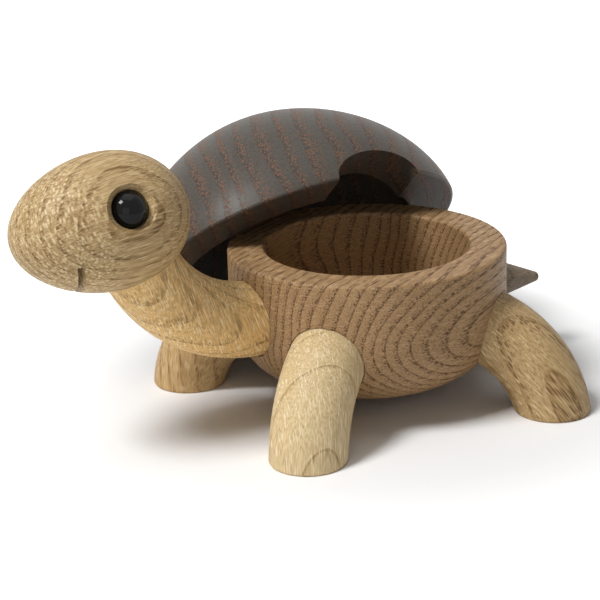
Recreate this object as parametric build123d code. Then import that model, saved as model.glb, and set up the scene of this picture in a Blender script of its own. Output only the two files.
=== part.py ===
from build123d import *
import math
import os

os.makedirs("parts", exist_ok=True)

# A wooden turtle that is a small lidded box, in millimetres and degrees.
# The origin is on the table under the middle of the bowl, +Z is up, the head
# points along -Y and +X is the turtle's left side. The shell is a loose lid:
# it leans open, with its far edge on the table and its hollow over the bowl's rim.

# Bowl: the turned body that the other pieces are glued into
bowl_outer_radius = 37.3
bowl_wall = 9.8
bowl_rim_height = 41.8
bowl_straight_height = 12.6
bowl_table_gap = 3.0
bowl_floor = 9.0
bowl_inside_round = 15.0
bowl_rim_round = 0.9
bowl_underside_exponent = 2.67

# Legs and neck: bent round rods, each glued with its own end in a bored socket
rod_diameter = 20.0
socket_clearance = 0.25
front_foot_side = 32.4
front_foot_forward = 38.6
front_bend_radius = 23.6
front_foot_lean = 4.6
rear_foot_side = 40.4
rear_foot_back = 32.0
rear_bend_radius = 28.6
rear_foot_lean = 10.6
leg_inset = 0.8
leg_tenon = 6.0
foot_round = 0.7
neck_height = 27.6
neck_tenon = 4.4
neck_bend_inset = 3.3
neck_bend_radius = 36.4
neck_rise = 60.0
neck_stub = 10.0
neck_socket_clearance = 0.3

# Head: a turned egg that turns on a dowel in the neck's end
head_half_length = 23.1
head_radius = 17.1
head_taper_share = 0.11
head_droop = 3.2
head_forward_of_neck = 6.3
head_above_neck = 6.2
head_bore_clearance = 0.3
head_seat_gap = 0.1
dowel_diameter = 8.0
dowel_in_neck = 12.0
dowel_in_head = 10.0
dowel_glue_gap = 0.1
dowel_running_gap = 0.05
dowel_end_gap = 0.5

# Eyes: black domed buttons with a stem, glued in drilled recesses
eye_diameter = 9.2
eye_skirt = 1.0
eye_dome = 3.1
eye_recess_diameter = 9.6
eye_recess_depth = 3.4
eye_countersink_depth = 2.3
eye_stem_diameter = 3.2
eye_stem = 5.0
eye_stem_gap = 0.1
eye_along_share = -0.12
eye_above_level = 25.0

# Mouth: a short saw cut across the underside of the snout
mouth_along_share = 0.525
mouth_slant = 9.0
mouth_inner_radius = 12.1
mouth_width = 1.5
mouth_end_drop = 5.2

# Tail: a turned cone
tail_diameter = 14.0
tail_length = 24.4
tail_tip_diameter = 2.4
tail_tip_round = 1.0
tail_tenon = 4.0
tail_height = 24.4
tail_droop = 8.0

# Shell: a thick oval dome with a flat rim face and an arch cut in one side
shell_width = 85.6
shell_length = 99.4
shell_height = 41.3
shell_exponent = 1.84
shell_rim = 12.0
shell_hollow_depth = 27.0
shell_edge_round = 0.8
arch_width = 27.4
arch_height = 7.7
arch_offset = 9.3
shell_table_gap = 0.5
shell_lean_gap = 0.2
shell_leg_gap = 2.2
shell_tilt_limits = (20.0, 80.0)

# How far every cut runs past the surface that it opens
cut_overrun = 6.0
# Points along a curve that is worked out from a formula
curve_steps = 8
# Times that the range of the shell's tilt is halved to find it
tilt_halvings = 40

rod_radius = rod_diameter / 2
bowl_inner_radius = bowl_outer_radius - bowl_wall
bowl_spring_height = bowl_rim_height - bowl_straight_height
bowl_floor_top = bowl_table_gap + bowl_floor
# Foot place to the side and along, bend radius and lean of a front and of a rear leg
leg_sizes = (
    (front_foot_side, -front_foot_forward, front_bend_radius, front_foot_lean),
    (rear_foot_side, rear_foot_back, rear_bend_radius, rear_foot_lean),
)


def quarter_curve(radius, height, exponent):
    # Points of a superellipse quarter, from the widest point to the top of its axis
    angles = [math.radians(90 * step / curve_steps) for step in range(curve_steps + 1)]
    power = 2 / exponent
    points = [(radius * math.cos(a) ** power, height * math.sin(a) ** power) for a in angles[:-1]]
    return points + [(0, height)]


def smooth_curve(points, start_way, end_way):
    # A curve through the points that leaves and arrives along the given directions
    return Spline(*points, tangents=(start_way, end_way), tangent_scalars=(1, 1))


def swept_rod(path, radius):
    # A round rod along a path
    return sweep(Plane(path @ 0, z_dir=path % 0) * Circle(radius), path=path)


def bore(plane, radius, depth):
    # A round hole from the plane's origin along its normal
    return plane * Cylinder(radius, depth, align=(Align.CENTER, Align.CENTER, Align.MIN))


def leg_plane(foot_x, foot_y):
    # The upright plane through the bowl's axis and a foot, with x outwards and y up
    reach = math.hypot(foot_x, foot_y)
    outward = Vector(foot_x / reach, foot_y / reach, 0)
    return Plane((0, 0, 0), x_dir=outward, z_dir=(outward.Y, -outward.X, 0)), reach


def bend_centre(reach, bend_radius, lean):
    # The middle of a leg's bend: how far out from the bowl's axis, and how high
    slope = math.radians(lean)
    return reach - bend_radius * math.cos(slope), -bend_radius * math.sin(slope)


def leg_path(reach, bend_radius, lean):
    # From the socket's seat straight to the bowl's wall, then down an arc to below the table
    centre_x, centre_y = bend_centre(reach, bend_radius, lean)
    wall_x = bowl_outer_radius - leg_inset
    wall_angle = math.acos((wall_x - centre_x) / bend_radius)
    wall_y = centre_y + bend_radius * math.sin(wall_angle)
    along_x = math.sin(wall_angle)
    along_y = -math.cos(wall_angle)
    seat = (wall_x - leg_tenon * along_x, wall_y - leg_tenon * along_y)
    low_angle = lean - math.degrees(cut_overrun / bend_radius)
    start = math.degrees(wall_angle)
    arc = CenterArc((centre_x, centre_y), bend_radius, start, low_angle - start)
    return Wire([Edge.make_line(seat + (0,), (wall_x, wall_y, 0)), arc.edge()])


def make_leg(foot_x, foot_y, bend_radius, lean):
    # The leg, with its foot cut level with the table, and the socket that it fills
    plane, reach = leg_plane(foot_x, foot_y)
    path = plane * leg_path(reach, bend_radius, lean)
    leg = split(swept_rod(path, rod_radius), Plane.XY, keep=Keep.TOP)
    leg = fillet(leg.edges().group_by(Axis.Z)[0], foot_round)
    seat = Plane(path @ 0, z_dir=path % 0)
    return leg, bore(seat, rod_radius + socket_clearance, leg_tenon + cut_overrun)


def make_neck():
    # The neck, from its seat in the bowl to its flat end inside the head, and the two end planes
    plane = Plane((0, 0, 0), x_dir=(0, -1, 0), z_dir=(-1, 0, 0))
    seat_x = bowl_outer_radius - neck_tenon
    bend_x = bowl_outer_radius - neck_bend_inset
    rise = math.radians(neck_rise)
    bend_end_x = bend_x + neck_bend_radius * math.sin(rise)
    bend_end_y = neck_height + neck_bend_radius * (1 - math.cos(rise))
    end_x = bend_end_x + neck_stub * math.cos(rise)
    end_y = bend_end_y + neck_stub * math.sin(rise)
    arc = CenterArc((bend_x, neck_height + neck_bend_radius), neck_bend_radius, -90, neck_rise)
    tenon = Edge.make_line((seat_x, neck_height, 0), (bend_x, neck_height, 0))
    stub = Edge.make_line((bend_end_x, bend_end_y, 0), (end_x, end_y, 0))
    path = plane * Wire([tenon, arc.edge(), stub])
    seat = Plane(path @ 0, z_dir=path % 0)
    end = Plane(path @ 1, x_dir=(1, 0, 0), z_dir=path % 1)
    return swept_rod(path, rod_radius), seat, end


def make_bowl(sockets):
    # The turned bowl, with a bored socket for each leg, the neck and the tail
    inside = bowl_inside_round
    edge = bowl_rim_round
    rim = bowl_rim_height
    underside = [(r, bowl_spring_height - drop) for r, drop in quarter_curve(
        bowl_outer_radius, bowl_spring_height - bowl_table_gap, bowl_underside_exponent)]
    outline = [
        Line((0, bowl_table_gap), (0, bowl_floor_top)),
        Line((0, bowl_floor_top), (bowl_inner_radius - inside, bowl_floor_top)),
        CenterArc((bowl_inner_radius - inside, bowl_floor_top + inside), inside, -90, 90),
        Line((bowl_inner_radius, bowl_floor_top + inside), (bowl_inner_radius, rim - edge)),
        CenterArc((bowl_inner_radius + edge, rim - edge), edge, 180, -90),
        Line((bowl_inner_radius + edge, rim), (bowl_outer_radius - edge, rim)),
        CenterArc((bowl_outer_radius - edge, rim - edge), edge, 90, -90),
        Line((bowl_outer_radius, rim - edge), (bowl_outer_radius, bowl_spring_height)),
        smooth_curve(underside, (0, -1), (-1, 0)),
    ]
    bowl = revolve(make_face(Plane.XZ * Curve(outline)), Axis.Z)
    for socket in sockets:
        bowl -= socket
    return bowl


def egg_radius(share):
    # The head's radius at a share of its half length, +1 at the snout
    return head_radius * math.sqrt(1 - share ** 2) * (1 - head_taper_share * share)


def countersink(plane):
    # A cone that widens by as much as it rises, from the eye recess's wall outwards
    height = eye_countersink_depth + cut_overrun
    radius = eye_recess_diameter / 2
    return plane * Cone(radius, radius + height, height, align=(Align.CENTER, Align.CENTER, Align.MIN))


def make_head(neck_end):
    # The egg, bored for the neck and its dowel, cut for the mouth and drilled for the eyes
    droop = math.radians(head_droop)
    snout = Vector(0, -math.cos(droop), -math.sin(droop))
    upward = Vector(0, -math.sin(droop), math.cos(droop))
    middle = neck_end.origin + Vector(0, -head_forward_of_neck, head_above_neck)
    angles = [math.pi * step / (2 * curve_steps) for step in range(1, 2 * curve_steps)]
    side = [(-head_half_length * math.cos(a), egg_radius(-math.cos(a))) for a in angles]
    side = [(-head_half_length, 0)] + side + [(head_half_length, 0)]
    curve = smooth_curve(side, (0, 1), (0, -1))
    chord = Line((head_half_length, 0), (-head_half_length, 0))
    along = Plane(middle, x_dir=snout, z_dir=(1, 0, 0))
    head = along * revolve(make_face(Curve([curve, chord])), Axis.X)

    opening = head_half_length + head_radius
    head -= bore(Plane(neck_end.origin + neck_end.z_dir * head_seat_gap, z_dir=-neck_end.z_dir),
                 rod_radius + head_bore_clearance, opening)
    head -= bore(neck_end, dowel_diameter / 2 + dowel_running_gap, dowel_in_head + dowel_end_gap)

    slant = math.radians(mouth_slant)
    cut_across = snout * math.cos(slant) + upward * -math.sin(slant)
    cut_middle = middle + snout * (head_half_length * mouth_along_share) - cut_across * (mouth_width / 2)
    cut_plane = Plane(cut_middle, x_dir=(1, 0, 0), z_dir=cut_across)
    ring = Circle(head_radius + cut_overrun) - Circle(mouth_inner_radius)
    lower = Rectangle(4 * head_radius, 2 * head_radius, align=(Align.CENTER, Align.MAX))
    ring &= Pos(0, -mouth_end_drop) * lower
    head -= extrude(cut_plane * ring, mouth_width)

    eye_planes = []
    lift = math.radians(eye_above_level)
    for side_sign in (1, -1):
        outward = Vector(side_sign, 0, 0) * math.cos(lift) + upward * math.sin(lift)
        on_surface = middle + snout * (head_half_length * eye_along_share) + outward * egg_radius(eye_along_share)
        back = Plane(on_surface - outward * eye_recess_depth, x_dir=snout, z_dir=outward)
        head -= bore(back, eye_recess_diameter / 2, eye_recess_depth + cut_overrun)
        head -= countersink(back.offset(eye_recess_depth - eye_countersink_depth))
        stem_plane = Plane(back.origin, x_dir=snout, z_dir=-outward)
        head -= bore(stem_plane, eye_stem_diameter / 2 + eye_stem_gap, eye_stem + dowel_end_gap)
        eye_planes.append(back)
    return head, eye_planes


def make_eye(plane):
    # A domed button on a straight skirt, with a stem behind it
    radius = eye_diameter / 2
    stem_radius = eye_stem_diameter / 2
    dome_radius = (radius ** 2 + eye_dome ** 2) / (2 * eye_dome)
    top = eye_skirt + eye_dome
    half_angle = math.asin(radius / dome_radius) / 2
    mid_point = (dome_radius * math.sin(half_angle), top - dome_radius * (1 - math.cos(half_angle)))
    outline = [
        Polyline((0, top), (0, -eye_stem), (stem_radius, -eye_stem), (stem_radius, 0), (radius, 0),
                 (radius, eye_skirt)),
        ThreePointArc((radius, eye_skirt), mid_point, (0, top)),
    ]
    return plane * revolve(make_face(Plane.XZ * Curve(outline)), Axis.Z)


def make_tail():
    # A cone with a straight end, and the socket that it fills
    droop = math.radians(tail_droop)
    axis = Vector(0, math.cos(droop), -math.sin(droop))
    seat = Plane((0, bowl_outer_radius - tail_tenon, tail_height), x_dir=(1, 0, 0), z_dir=axis)
    radius = tail_diameter / 2
    outline = Polyline((0, 0), (radius, 0), (radius, tail_tenon), (tail_tip_diameter / 2, tail_length),
                       (0, tail_length), close=True)
    section = make_face(outline)
    tip = section.vertices().sort_by(Axis.Y)[-2:].sort_by(Axis.X)[-1]
    section = fillet(tip, tail_tip_round)
    tail = seat * revolve(Plane.XZ * section, Axis.Z)
    return tail, bore(seat, radius + socket_clearance, tail_tenon + cut_overrun)


def lean_middle(tilt):
    # The x and z of the rim face's middle at a tilt: its far edge is just above the table, and the edge
    # of its hollow lies just outside the bowl's rim where the two cross
    middle_z = shell_width / 2 * math.sin(tilt) + shell_table_gap
    across = (bowl_rim_height - middle_z) / math.sin(tilt)
    hollow_half_width = shell_width / 2 - shell_rim
    hollow_half_length = hollow_half_width * shell_length / shell_width
    chord = hollow_half_length * math.sqrt(max(1 - (across / hollow_half_width) ** 2, 0))
    rim_radius = bowl_outer_radius + shell_lean_gap
    crossing_x = -math.sqrt(max(rim_radius ** 2 - chord ** 2, 0))
    return crossing_x - across * math.cos(tilt), middle_z


def leg_gap(tilt):
    # The least gap between the leaning rim face and the bends of the legs below it
    middle_x, middle_z = lean_middle(tilt)
    gaps = []
    for foot_x, foot_y, bend_radius, lean in leg_sizes:
        reach = math.hypot(foot_x, foot_y)
        sideways = foot_x / reach
        centre_out, centre_z = bend_centre(reach, bend_radius, lean)
        rise = (middle_z - centre_z) * math.cos(tilt) - (middle_x + sideways * centre_out) * math.sin(tilt)
        gaps.append(rise - bend_radius * math.hypot(sideways * math.sin(tilt), math.cos(tilt)) - rod_radius)
    return min(gaps)


def shell_plane():
    # The rim face's plane where the shell leans, as steep as its gap to the legs allows
    flat, steep = (math.radians(limit) for limit in shell_tilt_limits)
    for _ in range(tilt_halvings):
        tilt = (flat + steep) / 2
        if leg_gap(tilt) > shell_leg_gap:
            flat = tilt
        else:
            steep = tilt
    middle_x, middle_z = lean_middle(tilt)
    along = (math.cos(tilt), 0, math.sin(tilt))
    return Plane((middle_x, 0, middle_z), x_dir=along, z_dir=(-math.sin(tilt), 0, math.cos(tilt)))


def make_shell():
    # A turned dome with a flat rim and a round hollow, arched at its near side, then stretched oval
    stretch = shell_length / shell_width
    outer = quarter_curve(shell_width / 2, shell_height, shell_exponent)
    inner = quarter_curve(shell_width / 2 - shell_rim, shell_hollow_depth, 2)
    outline = [
        smooth_curve(outer, (0, 1), (-1, 0)),
        Line(outer[-1], inner[-1]),
        smooth_curve(inner, (0, 1), (-1, 0)),
        Line(inner[0], outer[0]),
    ]
    section = make_face(Curve(outline))
    section = fillet(section.vertices().sort_by(Axis.X)[-2:], shell_edge_round)
    shell = revolve(Plane.XZ * section, Axis.Z)
    arch_plane = Plane((0, arch_offset / stretch, 0), x_dir=(0, 1, 0), z_dir=(1, 0, 0))
    shell -= extrude(arch_plane * Ellipse(arch_width / 2 / stretch, arch_height), shell_width)
    return shell_plane() * scale(shell, by=(1, stretch, 1))


neck, neck_seat, neck_end = make_neck()
tail, tail_socket = make_tail()
sockets = [bore(neck_seat, rod_radius + neck_socket_clearance, neck_tenon + cut_overrun), tail_socket]
parts = {}
for side_name, side_sign in (("left", 1), ("right", -1)):
    for end_name, (foot_x, foot_y, bend_radius, lean) in zip(("front", "rear"), leg_sizes):
        leg, socket = make_leg(side_sign * foot_x, foot_y, bend_radius, lean)
        parts[f"{end_name}_leg_{side_name}"] = leg
        sockets.append(socket)

dowel_start = neck_end.origin - neck_end.z_dir * dowel_in_neck
dowel_plane = Plane(dowel_start, z_dir=neck_end.z_dir)
neck_bore_plane = Plane(neck_end.origin, z_dir=-neck_end.z_dir)
head, eye_planes = make_head(neck_end)

parts["bowl"] = make_bowl(sockets)
parts["neck"] = neck - bore(neck_bore_plane, dowel_diameter / 2 + dowel_glue_gap, dowel_in_neck)
parts["head_dowel"] = bore(dowel_plane, dowel_diameter / 2, dowel_in_neck + dowel_in_head)
parts["head"] = head
parts["eye_left"] = make_eye(eye_planes[0])
parts["eye_right"] = make_eye(eye_planes[1])
parts["tail"] = tail
parts["shell"] = make_shell()

for name, solid in parts.items():
    export_step(solid, f"parts/{name}.step")
    print(name, round(solid.volume, 1))
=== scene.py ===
import math

import bpy
import numpy as np
from mathutils import Matrix, Vector


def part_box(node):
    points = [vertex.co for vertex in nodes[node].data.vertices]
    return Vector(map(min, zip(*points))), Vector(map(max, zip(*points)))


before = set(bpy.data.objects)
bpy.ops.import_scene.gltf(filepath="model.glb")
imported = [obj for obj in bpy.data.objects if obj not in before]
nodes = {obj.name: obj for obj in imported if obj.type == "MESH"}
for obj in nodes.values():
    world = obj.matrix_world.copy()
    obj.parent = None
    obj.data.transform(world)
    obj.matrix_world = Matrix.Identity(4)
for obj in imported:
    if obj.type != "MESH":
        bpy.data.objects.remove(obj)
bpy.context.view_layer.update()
perMm = 1000.0  # the frame is in metres, the wood patterns are in millimetres
print("frame loaded:", len(nodes), "nodes")


# The oak of each piece: "grain" is the way the fibres run, "rings" the way the growth rings follow
# each other, "pith" how far away the middle of the tree is and "spacing" one year's growth, in mm.
# "light" is the clear wood and "dark" its porous lines and fibres; "line", "pores", "rays" and
# "flecks" say how strongly each mark shows. "fleckFrom" is where the flecks start and where they are
# full, in mm along the grain from the piece's middle. What a piece leaves out is in plainWood.
plainWood = {
    "porous": 0.22,  # share of a year's ring that is the dark porous band
    "wander": 3.2,  # how far a ring bends, in rings
    "fibre": 0.72, "finePores": 0.6, "poreSize": 1.0, "roughness": 0.5,
}
# the head's "mouth" flag gives it the painted shade in its mouth's groove
headWood = {
    "grain": (0.05, -1.0, -0.12), "rings": (0.86, 0.05, 0.45), "pith": 60.0, "spacing": 2.6,
    "light": (0.560, 0.400, 0.200), "dark": (0.310, 0.188, 0.075), "pore": (0.140, 0.075, 0.026),
    "ray": (0.74, 0.585, 0.345), "line": 0.42, "pores": 0.72, "rays": 0.55, "seed": 3.0,
    "porous": 0.16, "flecks": 0.85, "fleckFrom": (0.0, 9.0), "mouth": True,
}
neckWood = {
    "grain": (-0.15, -0.26, 0.95), "rings": (0.80, -0.45, 0.25), "pith": 45.0, "spacing": 3.6,
    "light": (0.88, 0.595, 0.255), "dark": (0.520, 0.300, 0.108), "pore": (0.165, 0.086, 0.030),
    "ray": (0.98, 0.80, 0.47), "line": 0.34, "pores": 0.50, "rays": 0.80, "seed": 11.0,
    "porous": 0.16, "flecks": 0.32, "fleckFrom": (-14.0, -4.0),
}
frontLegWood = {
    "grain": (-0.05, 0.06, 1.0), "rings": (0.90, -0.22, 0.0), "pith": 50.0, "spacing": 6.4,
    "light": (0.72, 0.560, 0.320), "dark": (0.47, 0.325, 0.152), "pore": (0.22, 0.130, 0.054),
    "ray": (0.86, 0.73, 0.50), "line": 0.95, "pores": 0.50, "rays": 0.70, "seed": 23.0,
    "porous": 0.04,
}
rearLegWood = {
    "grain": (0.30, 0.52, -0.80), "rings": (0.90, -0.05, 0.30), "pith": 52.0, "spacing": 4.6,
    "light": (0.525, 0.365, 0.178), "dark": (0.335, 0.205, 0.086), "pore": (0.16, 0.088, 0.034),
    "ray": (0.74, 0.57, 0.33), "line": 0.50, "pores": 0.82, "rays": 0.60, "seed": 31.0,
}
farLegWood = {
    "grain": (-0.10, 0.05, 1.0), "rings": (0.60, 0.78, 0.0), "pith": 60.0, "spacing": 4.2,
    "light": (0.58, 0.395, 0.186), "dark": (0.395, 0.240, 0.100), "pore": (0.17, 0.092, 0.036),
    "ray": (0.65, 0.50, 0.28), "line": 0.36, "pores": 0.60, "rays": 0.55, "seed": 37.0,
}
bowlWood = {
    "grain": (-0.45, 0.89, 0.06), "rings": (0.89, 0.45, 0.05), "pith": -45.0, "spacing": 2.5,
    "light": (0.415, 0.258, 0.125), "dark": (0.215, 0.120, 0.053), "pore": (0.092, 0.047, 0.022),
    "ray": (0.55, 0.370, 0.200), "line": 0.80, "pores": 0.95, "rays": 0.50, "seed": 43.0,
    "fibre": 0.62, "poreSize": 0.8, "wander": 4.4,
}
shellWood = {
    "grain": (0.85, -0.45, 0.25), "rings": (0.42, 0.88, 0.15), "pith": 110.0, "spacing": 5.4,
    "light": (0.082, 0.073, 0.060), "dark": (0.040, 0.030, 0.024), "pore": (0.215, 0.098, 0.052),
    "ray": (0.094, 0.083, 0.069), "line": 0.45, "pores": 0.85, "rays": 0.30, "seed": 57.0,
    "finePores": 0.10, "porous": 0.27, "poreSize": 0.72, "roughness": 0.40,
}
tailWood = {
    "grain": (0.0, 1.0, -0.14), "rings": (1.0, 0.0, 0.2), "pith": 60.0, "spacing": 3.0,
    "light": (0.29, 0.220, 0.150), "dark": (0.185, 0.132, 0.086), "pore": (0.09, 0.060, 0.038),
    "ray": (0.37, 0.29, 0.21), "line": 0.30, "pores": 0.60, "rays": 0.45, "seed": 61.0,
}
dowelWood = {
    "grain": (0.0, -0.5, 0.866), "rings": (1.0, 0.0, 0.0), "pith": 80.0, "spacing": 2.6,
    "light": (0.57, 0.40, 0.23), "dark": (0.46, 0.30, 0.16), "pore": (0.30, 0.18, 0.09),
    "ray": (0.66, 0.49, 0.30), "line": 0.15, "pores": 0.30, "rays": 0.50, "seed": 71.0,
}


# the mouth's saw cut, in mm: its middle plane, half its width and soft edge, the level below which
# it is open, and the colour and strength of the shade painted into its groove
mouthCut = {
    "middle": (0.0, -88.93, 59.98), "across": (0.0, -0.9774, -0.2113),
    "upward": (0.0, -0.2113, 0.9774), "half": 0.58, "edge": 0.22, "top": -5.3,
    "colour": (0.085, 0.055, 0.040), "shade": 0.8,
}


def grainBasis(wood):
    # rows: across the grain, ring to ring, along the grain
    along = Vector(wood["grain"]).normalized()
    ringWay = Vector(wood["rings"])
    ringWay = (ringWay - along * ringWay.dot(along)).normalized()
    across = ringWay.cross(along)
    return Matrix((across, ringWay, along))


shiftWay = (1.0, 0.7, 1.3)  # the way a seed moves a pattern


class Wiring:
    # short hand for putting nodes in the tree of one material, or of the world
    def __init__(self, owner, shaderName="Principled BSDF"):
        self.tree = owner.node_tree
        self.shader = self.tree.nodes[shaderName]

    def node(self, kind, **sockets):
        made = self.tree.nodes.new(kind)
        for key, value in sockets.items():
            self.feed(made.inputs[key.replace("_", " ")], value)
        return made

    def feed(self, socket, value):
        if isinstance(value, bpy.types.NodeSocket):
            self.tree.links.new(value, socket)
        else:
            socket.default_value = value

    def math(self, operation, first, second=0.0, third=0.0, clamp=False):
        made = self.tree.nodes.new("ShaderNodeMath")
        made.operation = operation
        made.use_clamp = clamp
        for socket, value in zip(made.inputs, (first, second, third)):
            self.feed(socket, value)
        return made.outputs[0]

    def stretch(self, vector, scales, shift=0.0):
        made = self.tree.nodes.new("ShaderNodeMapping")
        self.feed(made.inputs["Vector"], vector)
        made.inputs["Scale"].default_value = scales
        made.inputs["Location"].default_value = [shift * part for part in shiftWay]
        return made.outputs[0]

    def along(self, vector, way):
        made = self.tree.nodes.new("ShaderNodeVectorMath")
        made.operation = "DOT_PRODUCT"
        self.feed(made.inputs[0], vector)
        made.inputs[1].default_value = way
        return made.outputs["Value"]

    def noise(self, vector, detail=2.0, roughness=0.5):
        made = self.node("ShaderNodeTexNoise", Vector=vector, Scale=1.0,
                         Detail=detail, Roughness=roughness)
        return made.outputs["Fac"]

    def cells(self, vector):
        return self.node("ShaderNodeTexVoronoi", Vector=vector, Scale=1.0).outputs["Distance"]

    def band(self, value, low, high):
        # smooth step from 0 at low to 1 at high
        made = self.tree.nodes.new("ShaderNodeMapRange")
        made.interpolation_type = "SMOOTHSTEP"
        self.feed(made.inputs["Value"], value)
        made.inputs["From Min"].default_value = low
        made.inputs["From Max"].default_value = high
        return made.outputs["Result"]

    def mix(self, share, first, second):
        made = self.tree.nodes.new("ShaderNodeMix")
        made.data_type = "RGBA"
        self.feed(made.inputs[0], share)
        for slot, colour in ((6, first), (7, second)):  # the node's two colour sockets
            linked = isinstance(colour, bpy.types.NodeSocket)
            self.feed(made.inputs[slot], colour if linked else (*colour, 1.0))
        return made.outputs[2]  # the mixed colour


def paintedMouthShade(w):
    # how much painted shade a point gets: close to the cut's middle plane and below its upper end, where
    # the groove lies in shadow
    point = w.stretch(w.node("ShaderNodeTexCoord").outputs["Object"], (perMm, perMm, perMm))
    middle = Vector(mouthCut["middle"])
    off, up = (w.math("SUBTRACT", w.along(point, mouthCut[way]), middle.dot(Vector(mouthCut[way])))
               for way in ("across", "upward"))
    near = w.band(w.math("ABSOLUTE", off), mouthCut["half"] + mouthCut["edge"], mouthCut["half"])
    below = w.band(up, mouthCut["top"] + mouthCut["edge"], mouthCut["top"])
    return w.math("MULTIPLY", w.math("MULTIPLY", near, below), mouthCut["shade"])


# Patterns that all the pieces share. A scale counts cells per mm across the grain, ring to ring and
# along it, a shift gives a pattern its own seed, and a step is where a mark is nil and where it is
# full. The steps of start, line and early wood are shares of the porous band.
oakPattern = {
    "wanderScale": (0.035, 0.035, 0.010), "wanderShift": 0, "wanderDetail": 1.0,
    "startStep": (0.0, 0.23), "lineStep": (1.1, 0.41), "earlyStep": (2.8, 1.0), "earlyTone": 0.14,
    "fibreScale": (2.6, 2.6, 0.10), "fibreShift": 5, "fibreDetail": 3.0, "fibreRoughness": 0.6,
    "fibreStep": (0.34, 0.68), "fibreHeight": 0.35,
    "cloudScale": (0.06, 0.06, 0.03), "cloudShift": 9, "cloudDetail": 2.0,
    "cloudMiddle": 0.5, "cloudTone": 0.6,
    "rayScale": (2.1, 0.36, 0.18), "rayShift": 13, "rayStep": (0.40, 0.18),
    "fleckScale": (0.42, 1.5, 0.95), "darkFleckShift": 29, "rayFleckShift": 37, "fleckStep": (0.46, 0.22),
    "poreAcross": 1.35, "poreLength": 8, "poreShift": 17, "poreStep": (0.50, 0.28),
    "fineScale": (2.0, 2.0, 0.22), "fineShift": 19, "fineStep": (0.36, 0.18), "poreRoughness": 0.2,
    "bumpStrength": 0.45, "bumpDepth": 0.00012, "specular": 0.22,
}


def oak(nodeName, pieceWood):
    # Solid oak. A point is moved into the wood's own axes, in mm. Its distance from the pith, bent a
    # little by noise, divided by the ring spacing gives the growth ring; the start of each ring is a
    # dark porous band. Pores are long thin cells along the grain, rays short pale ones across the rings.
    wood = {**plainWood, **pieceWood}
    material = bpy.data.materials.new(nodeName + "Oak")
    material.use_nodes = True
    w = Wiring(material)
    basis = grainBasis(wood)
    low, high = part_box(nodeName)
    place = w.node("ShaderNodeMapping", Vector=w.node("ShaderNodeTexCoord").outputs["Object"])
    place.inputs["Scale"].default_value = (perMm, perMm, perMm)
    place.inputs["Rotation"].default_value = basis.to_euler()
    place.inputs["Location"].default_value = basis @ (low + high) * (-perMm / 2)
    point = place.outputs[0]

    def spread(mark, scale=None):
        # the point in the cells of one kind of mark
        shift = wood["seed"] + oakPattern[mark + "Shift"]
        return w.stretch(point, scale or oakPattern[mark + "Scale"], shift)

    wander = w.noise(spread("wander"), oakPattern["wanderDetail"])
    parts = w.node("ShaderNodeSeparateXYZ", Vector=point)
    depth = w.math("ADD", parts.outputs["Y"], wood["pith"])
    aside = w.math("MULTIPLY", parts.outputs["X"], parts.outputs["X"])
    distance = w.math("SQRT", w.math("ADD", aside, w.math("MULTIPLY", depth, depth)))
    years = w.math("DIVIDE", distance, wood["spacing"])
    ring = w.math("ADD", years, w.math("MULTIPLY", wander, wood["wander"]))
    phase = w.math("FRACT", ring)
    start, line, early = (w.band(phase, *(share * wood["porous"] for share in oakPattern[mark + "Step"]))
                          for mark in ("start", "line", "early"))
    line = w.math("MULTIPLY", start, line)
    early = w.math("MULTIPLY", start, early)

    fibre = w.noise(spread("fibre"), oakPattern["fibreDetail"], oakPattern["fibreRoughness"])
    cloud = w.noise(spread("cloud"), oakPattern["cloudDetail"])
    earlyTone = w.math("MULTIPLY", early, oakPattern["earlyTone"])
    fibreTone = w.math("MULTIPLY", w.band(fibre, *oakPattern["fibreStep"]), wood["fibre"])
    tone = w.math("ADD", w.math("MULTIPLY_ADD", line, wood["line"], earlyTone), fibreTone)
    cloud = w.math("SUBTRACT", cloud, oakPattern["cloudMiddle"])
    tone = w.math("MULTIPLY_ADD", cloud, oakPattern["cloudTone"], tone, clamp=True)
    colour = w.mix(tone, wood["light"], wood["dark"])

    ray = w.band(w.cells(spread("ray")), *oakPattern["rayStep"])
    colour = w.mix(w.math("MULTIPLY", ray, wood["rays"]), colour, wood["ray"])
    if "flecks" in wood:
        patch = w.math("MULTIPLY", w.band(parts.outputs["Z"], *wood["fleckFrom"]), wood["flecks"])
        for shade in ("dark", "ray"):
            cells = w.cells(spread(shade + "Fleck", oakPattern["fleckScale"]))
            tick = w.band(cells, *oakPattern["fleckStep"])
            colour = w.mix(w.math("MULTIPLY", tick, patch), colour, wood[shade])
    across = oakPattern["poreAcross"] / wood["poreSize"]
    poreScale = (across, across, across / oakPattern["poreLength"])
    wide = w.band(w.cells(spread("pore", poreScale)), *oakPattern["poreStep"])
    fine = w.band(w.cells(spread("fine")), *oakPattern["fineStep"])
    fine = w.math("MULTIPLY", fine, wood["finePores"])
    pore = w.math("MAXIMUM", w.math("MULTIPLY", wide, early), fine)
    colour = w.mix(w.math("MULTIPLY", pore, wood["pores"]), colour, wood["pore"])
    # painted shade: the mouth's groove is darkened in the colour, standing in for the shadow inside the cut
    if "mouth" in wood:
        colour = w.mix(paintedMouthShade(w), colour, mouthCut["colour"])
    w.feed(w.shader.inputs["Base Color"], colour)

    roughness = w.math("MULTIPLY_ADD", pore, oakPattern["poreRoughness"], wood["roughness"])
    w.feed(w.shader.inputs["Roughness"], roughness)
    height = w.math("SUBTRACT", w.math("MULTIPLY", fibre, oakPattern["fibreHeight"]), pore)
    bump = w.node("ShaderNodeBump", Strength=oakPattern["bumpStrength"],
                  Distance=oakPattern["bumpDepth"], Height=height)
    w.feed(w.shader.inputs["Normal"], bump.outputs["Normal"])
    w.shader.inputs["Specular IOR Level"].default_value = oakPattern["specular"]
    return material


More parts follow.
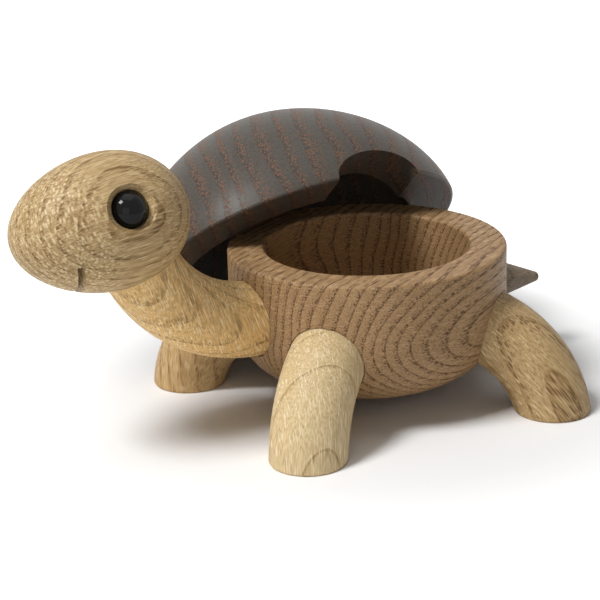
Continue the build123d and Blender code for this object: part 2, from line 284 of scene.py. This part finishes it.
eyeFinish = {
    "black": (0.002, 0.002, 0.002), "cloud": (0.006, 0.006, 0.006), "cloudScale": 300.0, "cloudDetail": 2.0,
    "roughness": 0.035, "marks": 0.03, "marksScale": 1500.0, "marksDetail": 3.0, "specular": 0.15,
}


def eyeBlack():
    # near black gloss, a shade lighter in soft clouds, with the faintest polish marks
    material = bpy.data.materials.new("eyeBlack")
    material.use_nodes = True
    w = Wiring(material)
    point = w.node("ShaderNodeTexCoord").outputs["Object"]
    cloud = w.noise(w.stretch(point, (eyeFinish["cloudScale"],) * 3), eyeFinish["cloudDetail"])
    w.feed(w.shader.inputs["Base Color"], w.mix(cloud, eyeFinish["black"], eyeFinish["cloud"]))
    marks = w.noise(w.stretch(point, (eyeFinish["marksScale"],) * 3), eyeFinish["marksDetail"])
    roughness = w.math("MULTIPLY_ADD", marks, eyeFinish["marks"], eyeFinish["roughness"])
    w.feed(w.shader.inputs["Roughness"], roughness)
    w.shader.inputs["Specular IOR Level"].default_value = eyeFinish["specular"]
    return material


def dress(nodeName, material):
    piece = nodes[nodeName]
    piece.data.materials.clear()
    piece.data.materials.append(material)


woods = {
    "head": headWood, "neck": neckWood, "front_leg_left": frontLegWood, "rear_leg_left": rearLegWood,
    "front_leg_right": farLegWood, "rear_leg_right": farLegWood, "bowl": bowlWood, "shell": shellWood,
    "tail": tailWood, "head_dowel": dowelWood,
}
for nodeName, wood in woods.items():
    dress(nodeName, oak(nodeName, wood))
eyeMaterial = eyeBlack()
for nodeName in ("eye_left", "eye_right"):
    dress(nodeName, eyeMaterial)
print("finishes:", len(bpy.data.materials))


studio = {
    "floorHalf": 3.0, "floorLines": 13, "floorColour": 0.95, "floorRoughness": 0.9,
    "floorLift": (0.0, 0.6), "liftFrom": (0.055, 0.135), "ambient": 0.09,
    "keyFrom": (0.02, -0.82, 1.20), "keySize": 0.4, "keyPower": 17.0,
    "fillFrom": (1.0, -0.75, 0.40), "fillSize": 0.8, "fillPower": 1.6,
    "topFrom": (-0.1, 0.1, 1.2), "topSize": 0.9, "topPower": 2.6, "aim": (0.0, -0.01, 0.035),
}


def seenRays(w):
    # 1 for a ray from the camera, off a glossy surface or through a clear one, otherwise 0
    path = w.node("ShaderNodeLightPath")
    seen = w.math("MAXIMUM", path.outputs["Is Camera Ray"], path.outputs["Is Glossy Ray"])
    return w.math("MAXIMUM", seen, path.outputs["Is Transmission Ray"])


def makeFloor():
    # one flat grid far wider than the view
    half = studio["floorHalf"]
    steps = np.linspace(-half, half, studio["floorLines"])
    across, along = np.meshgrid(steps, steps, indexing="ij")
    points = np.stack((across, along, np.zeros_like(across)), -1).reshape(-1, 3)
    count = len(steps)
    corner = (np.arange(count - 1)[:, None] * count + np.arange(count - 1)).ravel()
    faces = np.stack((corner, corner + count, corner + count + 1, corner + 1), -1)
    mesh = bpy.data.meshes.new("floor")
    mesh.from_pydata(points.tolist(), [], faces.tolist())
    floor = bpy.data.objects.new("floor", mesh)
    bpy.context.collection.objects.link(floor)
    material = bpy.data.materials.new("floorPaper")
    material.use_nodes = True
    w = Wiring(material)
    w.shader.inputs["Base Color"].default_value = (studio["floorColour"],) * 3 + (1.0,)
    w.shader.inputs["Roughness"].default_value = studio["floorRoughness"]
    w.shader.inputs["Specular IOR Level"].default_value = 0.0
    w.shader.inputs["Emission Color"].default_value = (1.0, 1.0, 1.0, 1.0)
    # whiter to the eye away from the turtle, so that only its own shadow shows
    seen = seenRays(w)
    away = w.node("ShaderNodeVectorMath")
    away.operation = "LENGTH"
    w.feed(away.inputs[0], w.node("ShaderNodeTexCoord").outputs["Object"])
    near, far = studio["floorLift"]
    share = w.band(away.outputs["Value"], *studio["liftFrom"])
    lift = w.math("MULTIPLY_ADD", share, far - near, near)
    w.feed(w.shader.inputs["Emission Strength"], w.math("MULTIPLY", seen, lift))
    mesh.materials.append(material)


def makeWorld():
    # white where it is seen, straight or in a reflection, and a dim even light otherwise
    world = bpy.data.worlds.new("studioWorld")
    bpy.context.scene.world = world
    world.use_nodes = True
    w = Wiring(world, "Background")
    w.shader.inputs["Color"].default_value = (1.0, 1.0, 1.0, 1.0)
    dim = studio["ambient"]
    w.feed(w.shader.inputs["Strength"], w.math("MULTIPLY_ADD", seenRays(w), 1.0 - dim, dim))


def makeLight(name):
    lamp = bpy.data.lights.new(name, "AREA")
    lamp.size = studio[name + "Size"]
    lamp.energy = studio[name + "Power"]
    light = bpy.data.objects.new(name, lamp)
    bpy.context.collection.objects.link(light)
    light.location = studio[name + "From"]
    toAim = Vector(studio["aim"]) - light.location
    light.rotation_euler = toAim.to_track_quat("-Z", "Y").to_euler()


makeFloor()
makeWorld()
for name in ("key", "fill", "top"):
    makeLight(name)
print("studio set")


shot = {
    "azimuth": 60.072, "elevation": 19.365, "roll": -1.684, "distance": 0.489157,
    "right": 0.018927, "up": -0.023912, "lens": 106.654, "sensor": 36.0, "clip": 0.01,
}


def makeCamera():
    # stands back from the origin along the view line, then slides left and up to frame the turtle
    a, e, r = (math.radians(shot[key]) for key in ("azimuth", "elevation", "roll"))
    back = Vector((math.sin(a) * math.cos(e), -math.cos(a) * math.cos(e), math.sin(e)))
    level = Vector((math.cos(a), math.sin(a), 0.0))
    upright = back.cross(level)
    right = level * math.cos(r) + upright * math.sin(r)
    up = upright * math.cos(r) - level * math.sin(r)
    data = bpy.data.cameras.new("camera")
    data.lens = shot["lens"]
    data.sensor_width = shot["sensor"]
    data.clip_start = shot["clip"]
    camera = bpy.data.objects.new("camera", data)
    bpy.context.collection.objects.link(camera)
    place = Matrix((right, up, back)).transposed().to_4x4()
    place.translation = back * shot["distance"] - right * shot["right"] - up * shot["up"]
    camera.matrix_world = place
    bpy.context.scene.camera = camera


makeCamera()
bpy.context.scene.view_settings.view_transform = "Standard"
print("camera set")
